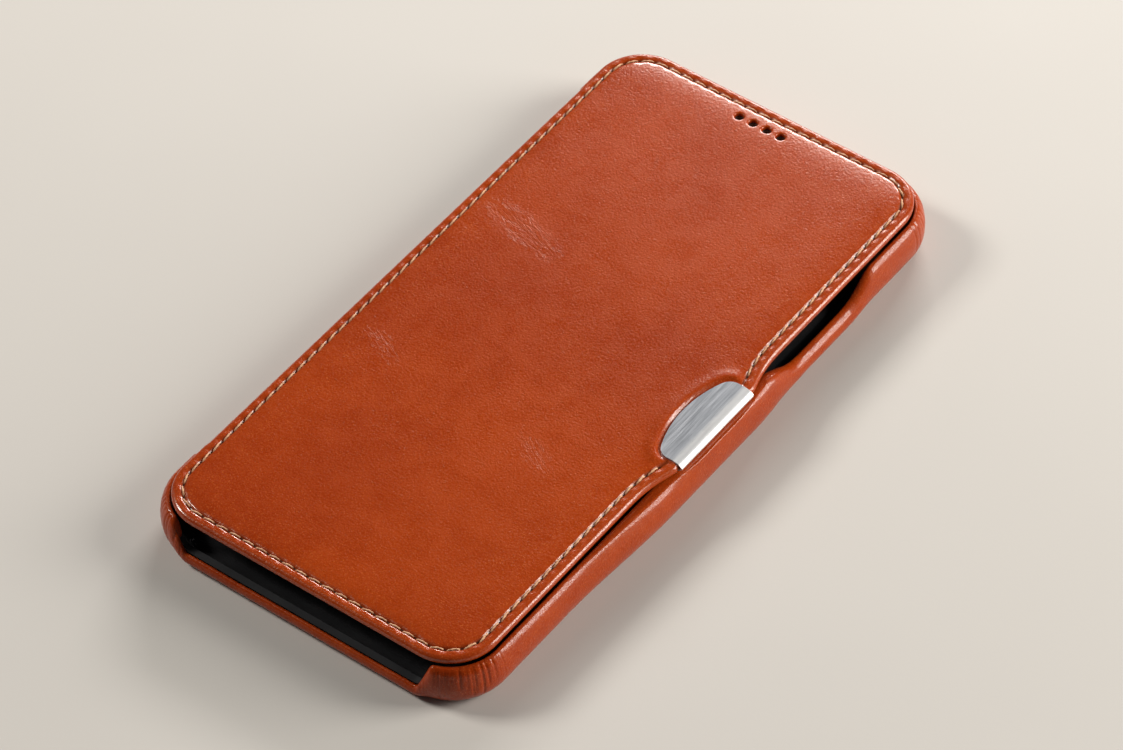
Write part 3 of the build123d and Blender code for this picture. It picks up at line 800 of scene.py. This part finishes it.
def makeTrayLeather(finish):
    s, stops = 0.0, []
    while s < trayTrack.length - 0.05:
        x, y = trayTrack.at(s)
        corner = abs(y) > tray["halfY"] - tray["corner"] and abs(x) > tray["halfX"] - tray["corner"]
        notch = (x > 30 and 17 < y < 57) or (y < -75 and abs(x) < 34)
        end = x < -30 and 60.8 < abs(y) < 64.2
        stops.append(s)
        s += 0.1 if end else 0.19 if corner else 0.36 if notch else 0.85
    for crossing in (tray["wallEnd"], trayTrack.length - tray["wallEnd"]):
        stops = [s for s in stops if abs(s - crossing) > 0.06] + [crossing - 1e-4, crossing + 1e-4]
    stops = np.array(sorted(stops))
    rng = np.random.default_rng(tray["pleatSeed"])
    creasesAt = np.cumsum(rng.uniform(0.5, 1.9, 600))
    creaseSize = rng.uniform(0.3, 1.0, 600) ** 1.8
    creaseReach = rng.uniform(0.5, 6.6, 600)
    sections = []
    for s in stops:
        (x, y), out = trayTrack.at(s), trayTrack.outward(s)
        lip = -2.4
        crest = tray["crest"]
        if x > 30:
            lip = tray["pocketX"] - float(traySide(y)) if abs(y) < 60 else -2.4
            crest = mix(crest, -0.55, float(ease(17, 6, abs(y - clasp["y"]))))
        h = rimHeight(x, y)
        if y < -75:  # the port's lip is a narrow roll outside the shell
            port = float(ease(8.6, 4.2, h))
            lip, crest = mix(lip, -1.16, port), mix(crest, -0.72, port)
        cornerShare = float(ease(66.5, 71.5, abs(y)) * ease(25.5, 30.5, abs(x)))
        near = np.abs(creasesAt - s)
        k = int(np.argmin(near))
        pleat = -tray["pleatDepth"] * creaseSize[k] * math.exp(-(near[k] / 0.26) ** 2) * cornerShare
        pleat += 0.04 * float(waves(x, y, 21, 9)) * (0.4 + cornerShare)
        outer, inner = traySection(h, lip, crest, pleat, creaseReach[k] * cornerShare)
        tuck = 0.5 * float(ease(60.5, 63, y) * ease(-18, -30, x))  # tucked in under the cover's upper corner
        outer[:, 0] -= tuck * ease(0.5, 4, outer[:, 1]) * ease(lip - 0.1, crest + 0.3, outer[:, 0])
        wall = x > -30 or abs(y) > tray["wallEnd"]
        if not wall:
            outer, inner = flatSection(len(outer), len(inner))
        loop = np.concatenate([outer, inner])
        place = np.array([x, y]) + out * loop[:, :1]
        sections.append(np.column_stack([place, loop[:, 1]]))
    sections = np.array(sections)
    pattern = Pattern()
    found = pattern.rows(sections)
    pattern.strip(found[-1], found[0])
    fronts = len(traySection(9.6, -2.4, -1.4, 0)[0])
    # the ring of faces between the two bottom rows is opened and both sides are filled
    lowRow, highRow = found[fronts - 1], found[fronts]
    count = len(lowRow)
    bridge = {frozenset((lowRow[i - 1], lowRow[i], highRow[i], highRow[i - 1])) for i in range(count)}
    pattern.faces = [f for f in pattern.faces if frozenset(f) not in bridge]

    def pill(grow, level, count=72):
        radius = trayWindow["width"] / 2 + grow
        flat = (trayWindow["height"] - trayWindow["width"]) / 2
        t = np.linspace(0, math.tau, count, endpoint=False)
        px = trayWindow["x"] + radius * np.cos(t)
        py = trayWindow["y"] + radius * np.sin(t) + flat * np.sign(np.round(np.sin(t), 6))
        return pattern.add(np.column_stack([px, py, np.full(count, level)]))

    lip = [pill(0.35, 0.0), pill(0.12, 0.05), pill(0.02, 0.2), pill(0.0, 0.4), pill(0.0, 0.76)]
    for a, b in zip(lip, lip[1:]):
        pattern.strip(a, b)
    net = grid((-32, 33, 8.0), (-72, 73, 8.0))
    pattern.fill(lowRow, [lip[0]], net, lambda p: np.zeros(len(p)))
    pattern.fill(highRow, [lip[-1]], net, lambda p: np.full(len(p), 0.76))
    return pattern.make("trayLeather", finish, 60)


# microfibre

linings = {"thick": 0.38, "coverLow": 9.9, "coverInset": 0.42, "spineHalf": 61.3, "legHalf": 12.25,
           "trayX": 35.65, "trayY": 75.7, "trayCorner": 7.15, "trayLow": 1.82, "trayThick": 0.3}


def pierced(pattern, radius, low, high):
    # the ear holes through a layer: their lower rings and their upper rings
    lows, highs = [], []
    turn = np.linspace(0, math.tau, 24, endpoint=False)
    for x in earMiddles:
        ring = np.column_stack([x + radius * np.cos(turn), earHoles["y"] + radius * np.sin(turn)])
        loops = [pattern.add(np.column_stack([ring, np.full(24, z)])) for z in (low, high)]
        pattern.strip(*loops)
        lows.append(loops[0])
        highs.append(loops[1])
    return lows, highs


def makeCoverLining(finish):
    s = np.linspace(0, coverTrack.length, 760, endpoint=False)
    edge, out = coverTrack.at(s), coverTrack.outward(s)
    out[(edge[:, 0] > 30) & (np.abs(edge[:, 1]) < 30)] = (1.0, 0.0)
    low, high = linings["coverLow"], linings["coverLow"] + linings["thick"]
    sections = []
    for i in range(len(s)):
        x, y = edge[i]
        leg = x > 0 and abs(y - clasp["y"]) < linings["legHalf"]
        inset = (x - clasp["legX"] + 0.2) if leg else linings["coverInset"]
        share = float(ease(linings["spineHalf"], linings["spineHalf"] - 1.2, abs(y))) if x < 0 else 0.0
        under = np.array([(4.4, low), (4.0, low), (3.6, low), (3.2, low), (2.85, low + 0.03), (2.6, low + 0.16),
                          (2.4, low + 0.24), (2.2, low + 0.16), (1.95, low + 0.03), (1.6, low), (1.3, low), (1.1, low)])
        if leg:
            under[:, 1] = low
        under[:, 0] = np.maximum(under[:, 0], inset + np.linspace(1.6, 0.3, len(under)))
        rim = np.array([(0.25, low), (0.08, low + 0.06), (0, low + 0.19), (0.08, low + 0.32), (0.25, high)])
        rim = evenly(rim + (inset, 0), 30)
        roof = np.array([(inset + 0.5, high), (max(4.4, inset + 1.6), high)])
        loop = np.concatenate([under, rim, roof])
        place = np.column_stack([edge[i] - out[i] * loop[:, :1], loop[:, 1]])
        if share > 0:
            endZ = cover["meetZ"] + float(slotReach(y)) * (abs(y) < 61)
            z = np.linspace(9.35, endZ + 0.05, 10)
            inner = np.concatenate([bowed((-37.55, low), (-37.95, low - 0.02), (spineX(9.35) + 1.2, 9.35), 6)[:-1],
                                    np.column_stack([spineX(z) + 1.22, z])])
            z = np.linspace(endZ, 9.6, 10)
            outer = np.concatenate([np.column_stack([spineX(z) + 0.84, z]),
                                    bowed((spineX(9.6) + 0.84, 9.6), (-38.05, high), (-37.6, high), 6)[1:]])
            both = atLevel(evenly(np.concatenate([inner, outer]), 30), y)
            place[len(under):len(under) + 30] = mix(place[len(under):len(under) + 30], both, share)
        sections.append(place)
    pattern = Pattern()
    found = pattern.rows(np.array(sections))
    lows, highs = pierced(pattern, earHoles["radius"], low, high)
    net = grid((-28, 29, 7.0), (-68, 64, 7.0))
    pattern.fill(found[0], lows, net, lambda p: np.full(len(p), low))
    pattern.fill(found[-1], highs, net, lambda p: np.full(len(p), high))
    return pattern.make("coverLining", finish, 60)


padding = {"inset": 3.9, "low": 11.12, "high": 11.5, "plump": 0.1, "holes": 1.05}


def makeCoverFoam(finish):
    # thin padding between board and leather, which gives the panel its crown
    inset = padding["inset"]
    right = cover["right"] - inset
    track = Track(roundPlan(cover["left"] + inset, lambda y: np.full(len(y), right), right,
                            cover["halfY"] - inset, cover["corner"] - inset))
    s = np.linspace(0, track.length, 400, endpoint=False)
    edge, out = track.at(s), track.outward(s)
    low, high = padding["low"], padding["high"]
    section = np.array([(0.55, low), (0.3, low), (0.08, low + 0.06), (0.0, (low + high) / 2),
                        (0.10, high - 0.06), (0.3, high), (0.55, high + 0.02)])
    pattern = Pattern()
    found = pattern.rows(ringed(edge, out, section))
    lows, highs = pierced(pattern, padding["holes"], low, high + 0.02)
    net = grid((-28, 29, 7.0), (-66, 67, 6.0))
    pattern.fill(found[0], lows, net, lambda p: np.full(len(p), low))
    pattern.fill(found[-1], highs, net,
                 lambda p: high + padding["plump"] * (1 + 0.3 * waves(p[:, 0], p[:, 1], 14, 30)))
    return pattern.make("coverFoam", finish, 60)


def makeSpineLining(finish):
    # from the middle of the spine down to the lower fold, inside the leather
    y = np.concatenate([np.linspace(-61.2, -60.6, 4), np.linspace(-59, 17.2, 50), np.linspace(17.6, 56.4, 100),
                        np.linspace(57, 59, 3), np.linspace(60.6, 61.2, 4)])
    rows = []
    for level in y:
        endZ = cover["meetZ"] - float(slotReach(level)) * (abs(level) < 59)
        z = np.linspace(endZ, 1.9, 14)
        inner = np.column_stack([spineX(z) + 1.2, z])
        outer = np.column_stack([spineX(z[::-1]) + 0.84, z[::-1]])
        tip = bowed(inner[-1], (spineX(1.9) + 1.0, 1.55), outer[0], 5)[1:-1]
        loop = np.concatenate([inner, tip, outer])
        rows.append(atLevel(loop, level))
    return madeAlongY(rows, "spineLining", finish)


def makeTrayLining(finish):
    track = Track(roundPlan(-linings["trayX"], lambda y: np.full(len(y), linings["trayX"]),
                            linings["trayX"], linings["trayY"], linings["trayCorner"]))
    s = np.linspace(0, track.length, 360, endpoint=False)
    edge, out = track.at(s), track.outward(s)
    low, high = linings["trayLow"], linings["trayLow"] + linings["trayThick"]
    section = np.array([(0.9, low), (0.4, low), (0.1, low + 0.02), (0.0, low + 0.12),
                        (0.08, high - 0.05), (0.3, high), (0.9, high)])
    pattern = Pattern()
    found = pattern.rows(ringed(edge, out, section))
    t = np.linspace(0, math.tau, 72, endpoint=False)
    radius = trayWindow["width"] / 2
    flat = (trayWindow["height"] - trayWindow["width"]) / 2
    window = np.column_stack([trayWindow["x"] + radius * np.cos(t),
                              trayWindow["y"] + radius * np.sin(t) + flat * np.sign(np.round(np.sin(t), 6))])
    loops = [pattern.add(np.column_stack([window, np.full(72, z)])) for z in (low, high)]
    pattern.strip(*loops)
    net = grid((-28, 29, 7.0), (-68, 69, 7.0))
    pattern.fill(found[0], [loops[0]], net, lambda p: np.full(len(p), low))
    pattern.fill(found[-1], [loops[1]], net, lambda p: high + 0.012 * waves(p[:, 0], p[:, 1], 6, 30))
    return pattern.make("trayLining", finish, 60)


# the clasp

def makeClasp(finish):
    half, thick, nose, foldX, foldZ = (clasp[k] for k in ("half", "thick", "nose", "foldX", "foldZ"))
    away = np.concatenate([np.linspace(0, 9.6, 26), 9.6 + 2.4 * np.sin(np.linspace(0, 1, 22)[1:] * math.pi / 2)])
    away = np.concatenate([-away[:0:-1], away])
    outerR = clasp["foldRadius"]
    innerR = outerR - thick
    rows = []
    for a in away:
        start = float(claspEdge(a))
        past = max(abs(a) - half + clasp["legCorner"], 0)
        toe = clasp["legCorner"] - math.sqrt(max(clasp["legCorner"] ** 2 - past ** 2, 0))
        legX = clasp["legX"] + toe
        t = np.radians(np.linspace(90, -90, 19))
        outer = [(mix(start, foldX, u), foldZ + outerR) for u in np.linspace(0, 1, 9)[:-1]]
        outer += [(foldX + nose * math.cos(q), foldZ + outerR * math.sin(q)) for q in t]
        outer += [(mix(foldX, legX, u), foldZ - outerR) for u in np.linspace(0, 1, 5)[1:]]
        inner = [(mix(legX, foldX, u), foldZ - innerR) for u in np.linspace(0, 1, 5)[:-1]]
        inner += [(foldX + (nose - thick) * math.cos(q), foldZ + innerR * math.sin(q)) for q in t[::-1]]
        inner += [(mix(foldX, start, u), foldZ + innerR) for u in np.linspace(0, 1, 9)[1:]]
        loop = np.array(outer + inner)
        rows.append(atLevel(loop, a + clasp["y"]))
    pattern = Pattern()
    found = pattern.rows(np.array(rows), False)
    pattern.strip(found[-1], found[0], False)
    count = len(found)
    outerCount = 8 + 19 + 4
    for end in (0, -1):
        for k in range(outerCount - 1):
            corners = (found[k], found[k + 1], found[count - 2 - k], found[count - 1 - k])
            pattern.faces.append(tuple(row[end] for row in corners))
    piece = pattern.make("claspPlate", finish, 40)
    bevel = piece.modifiers.new("rolledEdge", "BEVEL")
    bevel.width, bevel.segments, bevel.limit_method = 0.09 * mm, 2, "ANGLE"
    bevel.angle_limit = math.radians(50)
    return settled(piece)


def settled(piece):
    # the modifiers' result as a plain mesh
    view = bpy.context.evaluated_depsgraph_get()
    mesh = bpy.data.meshes.new_from_object(piece.evaluated_get(view), preserve_all_data_layers=True, depsgraph=view)
    mesh.name = piece.name
    piece.modifiers.clear()
    old = piece.data
    piece.data = mesh
    bpy.data.meshes.remove(old)
    return piece


# stitches

thread = {"length": 2.62, "radius": 0.235, "underRadius": 0.17, "twists": 1.15, "slant": 7.0, "dip": 0.30,
          "topZ": 11.93, "underZ": 10.0, "underDip": -0.12, "underSlant": -4.0}


def stitchShape(name, radius, dip, finish):
    # two strands twisted together, diving into the leather at both ends
    pattern = Pattern()
    rings = []
    for k in range(9):
        t = k / 8
        x = (t - 0.5) * thread["length"]
        drop = dip * (abs(2 * t - 1) ** 3.2)
        plump = radius * (0.62 + 0.38 * math.sin(math.pi * min(max(t, 0.06), 0.94)) ** 0.45)
        turn = t * thread["twists"] * math.tau
        ring = []
        for j in range(8):
            a = j * math.tau / 8
            lobe = 0.80 + 0.26 * math.cos(2 * (a - turn))
            ring.append((x, plump * lobe * math.cos(a), plump * lobe * math.sin(a) - drop))
        rings.append(pattern.add(ring))
    for a, b in zip(rings, rings[1:]):
        pattern.strip(a, b)
    pattern.faces += [tuple(rings[0]), tuple(rings[-1])]
    return pattern.make(name, finish)


def stitchNodes(name, single):
    # lays a stitch at even steps along the seam line that it is put on
    tree = bpy.data.node_groups.new(name, "GeometryNodeTree")
    face = tree.interface
    face.new_socket("Seam", in_out="INPUT", socket_type="NodeSocketGeometry")
    for label, value in (("Count", 140), ("Seed", 3)):
        face.new_socket(label, in_out="INPUT", socket_type="NodeSocketInt").default_value = value
    for label, value in (("Slant", 0.1), ("Wobble", 0.05), ("Hidden Half", 0.0129),
                         ("Hidden Middle", 0.0), ("Hidden From", 0.03)):
        face.new_socket(label, in_out="INPUT", socket_type="NodeSocketFloat").default_value = value
    face.new_socket("Thread", in_out="INPUT", socket_type="NodeSocketMaterial")
    face.new_socket("Stitches", in_out="OUTPUT", socket_type="NodeSocketGeometry")

    def node(kind, settings=None, values=None):
        made = tree.nodes.new(kind)
        for key, value in (settings or {}).items():
            setattr(made, key, value)
        for key, value in (values or {}).items():
            if isinstance(value, bpy.types.NodeSocket):
                tree.links.new(value, made.inputs[key])
            else:
                made.inputs[key].default_value = value
        return made

    given = node("NodeGroupInput").outputs
    path = node("GeometryNodeMeshToCurve", None, {0: given["Seam"]})
    points = node("GeometryNodeCurveToPoints", {"mode": "COUNT"}, {"Curve": path.outputs[0], "Count": given["Count"]})
    where = node("ShaderNodeSeparateXYZ", None, {0: node("GeometryNodeInputPosition").outputs[0]}).outputs
    offY = node("ShaderNodeMath", {"operation": "SUBTRACT"}, {0: where["Y"], 1: given["Hidden Middle"]})
    offY = node("ShaderNodeMath", {"operation": "ABSOLUTE"}, {0: offY.outputs[0]})
    inY = node("ShaderNodeMath", {"operation": "LESS_THAN"}, {0: offY.outputs[0], 1: given["Hidden Half"]})
    inX = node("ShaderNodeMath", {"operation": "GREATER_THAN"}, {0: where["X"], 1: given["Hidden From"]})
    both = node("ShaderNodeMath", {"operation": "MULTIPLY"}, {0: inX.outputs[0], 1: inY.outputs[0]})
    left = node("GeometryNodeDeleteGeometry", {"domain": "POINT"},
                {0: points.outputs["Points"], "Selection": both.outputs[0]})
    chance = node("FunctionNodeRandomValue", {"data_type": "FLOAT"}, {"Min": -1.0, "Max": 1.0, "Seed": given["Seed"]})
    lean = node("ShaderNodeMath", {"operation": "MULTIPLY_ADD"},
                {0: chance.outputs[1], 1: given["Wobble"], 2: given["Slant"]})
    turn = node("FunctionNodeAlignRotationToVector", {"axis": "X", "pivot_axis": "Z"},
                {"Vector": points.outputs["Tangent"]})
    tilt = node("ShaderNodeCombineXYZ", None, {"Z": lean.outputs[0]})
    tilt = node("FunctionNodeEulerToRotation", None, {0: tilt.outputs[0]})
    turned = node("FunctionNodeRotateRotation", {"rotation_space": "LOCAL"}, {0: turn.outputs[0], 1: tilt.outputs[0]})
    size = node("FunctionNodeRandomValue", {"data_type": "FLOAT"}, {"Min": 0.95, "Max": 1.04, "Seed": given["Seed"]})
    stitch = node("GeometryNodeObjectInfo", {"transform_space": "ORIGINAL"}, {"Object": single})
    laid = node("GeometryNodeInstanceOnPoints", None, {
        "Points": left.outputs[0], "Instance": stitch.outputs["Geometry"],
        "Rotation": turned.outputs[0], "Scale": size.outputs[1]})
    real = node("GeometryNodeRealizeInstances", None, {0: laid.outputs[0]})
    done = node("GeometryNodeSetMaterial", None, {"Geometry": real.outputs[0], "Material": given["Thread"]})
    node("NodeGroupOutput", None, {0: done.outputs[0]})
    return tree


def makeStitches(name, level, radius, dip, count, slant, finish):
    _, seam, run, total = seamLine(1600)
    ring = np.concatenate([seam, seam[:1]])
    half = total / count / 2  # the row starts half a stitch on, so that needle holes fall between
    at = np.mod(np.linspace(0, total, 1600, endpoint=False) + half, total)
    line3 = np.stack([np.interp(at, np.append(run, total), ring[:, i]) for i in (0, 1)], 1)
    mesh = bpy.data.meshes.new(name)
    points = [(x * mm, y * mm, level * mm) for x, y in line3]
    mesh.from_pydata(points, [(i, (i + 1) % len(points)) for i in range(len(points))], [])
    piece = bpy.data.objects.new(name, mesh)
    bpy.context.scene.collection.objects.link(piece)
    single = stitchShape(name + "Single", radius, dip, finish)
    tree = stitchNodes(name + "Nodes", single)
    layer = piece.modifiers.new("stitches", "NODES")
    layer.node_group = tree
    wanted = {"Count": count, "Seed": 3, "Slant": math.radians(slant), "Wobble": 0.06,
              "Hidden Half": (seamFacts["hiddenHalf"] + 0.9) * mm, "Hidden Middle": clasp["y"] * mm,
              "Hidden From": 0.03, "Thread": finish}
    for item in tree.interface.items_tree:
        if item.in_out == "INPUT" and item.name in wanted:
            layer[item.identifier] = wanted[item.name]
    piece = settled(piece)
    piece.data.shade_smooth()
    bpy.data.objects.remove(single)
    return piece


# making it all

print("finishes")
creaseMarks = [  # middle, size, turn, depth and pitch of each patch of fine wrinkles
    ((-22.3, 20.8, 12.4), (14.5, 4.6), -15.0, 0.05, 0.75),
    ((-26.5, -20.5, 12.4), (9.0, 3.8), -20.0, 0.022, 0.8),
    ((16.0, -26.5, 12.4), (10.0, 3.6), -28.0, 0.022, 0.8),
]
coverHide = leather("coverLeather", 1.0, True, creaseMarks)
trayHide = leather("trayLeatherFinish", 0.6)
lint = microfibre("blackMicrofibre")
strand = waxedThread("tanThread")
steel = brushedSteel("brushedSteel")

print("front leather")
frontLeather, stitchCount = makeFrontLeather(coverHide)
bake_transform(frontLeather)
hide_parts("cover_leather")

print("spine leather")
spineLeather = makeSpineFoot(trayHide)
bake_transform(spineLeather)
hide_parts("spine_leather")

print("tray leather")
trayLeather = makeTrayLeather(trayHide)
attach(trayLeather, "tray")
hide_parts("back_leather")

print("linings")
coverLining = makeCoverLining(lint)
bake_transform(coverLining)
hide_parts("cover_lining")
spineLining = makeSpineLining(lint)
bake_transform(spineLining)
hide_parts("spine_lining")
trayLining = makeTrayLining(lint)
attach(trayLining, "tray")
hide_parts("back_lining")

print("padding")
coverFoam = makeCoverFoam(openFoam("thinFoam"))
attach(coverFoam, "cover")
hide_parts("cover_foam")

print("clasp")
claspPlate = makeClasp(steel)
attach(claspPlate, "cover")
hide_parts("clasp_plate")

print("stitches")
topStitches = makeStitches(
    "topThread", thread["topZ"], thread["radius"], thread["dip"], stitchCount, thread["slant"], strand)
underStitches = makeStitches(
    "underThread", thread["underZ"], thread["underRadius"], thread["underDip"], stitchCount,
    thread["underSlant"], strand)
for row, node in ((topStitches, "top_stitches"), (underStitches, "under_stitches")):
    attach(row, "cover")
    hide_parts(node)

print("hidden parts")
for node, finish in (("hard_shell", mouldedPlastic("shellPlastic")), ("catch_magnet", nickelPlate("magnetPlate")),
                     ("cover_board", pressedBoard("stiffBoard"))):
    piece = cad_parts[node]
    piece.data.materials.clear()
    piece.data.materials.append(finish)


# floor, lights and camera

print("studio")
floorMesh = bpy.data.meshes.new("floor")
floorMesh.from_pydata([(-3, -3, 0), (3, -3, 0), (3, 3, 0), (-3, 3, 0)], [], [(0, 1, 2, 3)])
floorMesh.materials.append(paleFloor("paleFloor"))
floor = bpy.data.objects.new("floor", floorMesh)
floor.location.z = -0.0001
bpy.context.scene.collection.objects.link(floor)

world = bpy.data.worlds.new("studio")
world.use_nodes = True
world.node_tree.nodes["Background"].inputs[0].default_value = (0.92, 0.95, 1.0, 1)
world.node_tree.nodes["Background"].inputs[1].default_value = 0.05
bpy.context.scene.world = world
bpy.context.scene.view_settings.view_transform = "Standard"

softboxes = {
    "key": {"from": (-1.00, -0.35, 0.85), "size": (0.35, 0.35), "power": 12.5, "colour": (1.0, 0.975, 0.94)},
    "sheen": {"from": (-0.27, 0.70, 0.31), "size": (0.42, 0.12), "power": 5.6, "colour": (1.0, 0.98, 0.97)},
    "side": {"from": (0.92, 0.72, 0.44), "size": (0.55, 0.95), "power": 24.0, "colour": (1.0, 0.975, 0.94)},
}
for label, facts in softboxes.items():
    lamp = bpy.data.lights.new(label, "AREA")
    lamp.shape, lamp.size, lamp.size_y = "RECTANGLE", *facts["size"]
    lamp.energy, lamp.color = facts["power"], facts["colour"]
    holder = bpy.data.objects.new(label, lamp)
    holder.location = facts["from"]
    holder.rotation_euler = (Vector((0, 0, 0)) - Vector(facts["from"])).to_track_quat("-Z", "Y").to_euler()
    bpy.context.scene.collection.objects.link(holder)

view = {"from": (0.449507, -0.548974, 0.772288), "azimuth": 39.158, "elevation": 47.376, "roll": -2.769,
        "lens": 166.67}
a, e, r = (math.radians(view[k]) for k in ("azimuth", "elevation", "roll"))
back = Vector((math.sin(a) * math.cos(e), -math.cos(a) * math.cos(e), math.sin(e)))
right = Vector((0, 0, 1)).cross(back).normalized()
up = back.cross(right)
right, up = right * math.cos(r) + up * math.sin(r), up * math.cos(r) - right * math.sin(r)
lensData = bpy.data.cameras.new("camera")
lensData.lens, lensData.sensor_width, lensData.clip_start, lensData.clip_end = view["lens"], 36.0, 0.02, 20.0
camera = bpy.data.objects.new("camera", lensData)
camera.matrix_world = Matrix((
    (right.x, up.x, back.x, view["from"][0]), (right.y, up.y, back.y, view["from"][1]),
    (right.z, up.z, back.z, view["from"][2]), (0, 0, 0, 1)))
bpy.context.scene.collection.objects.link(camera)
bpy.context.scene.camera = camera
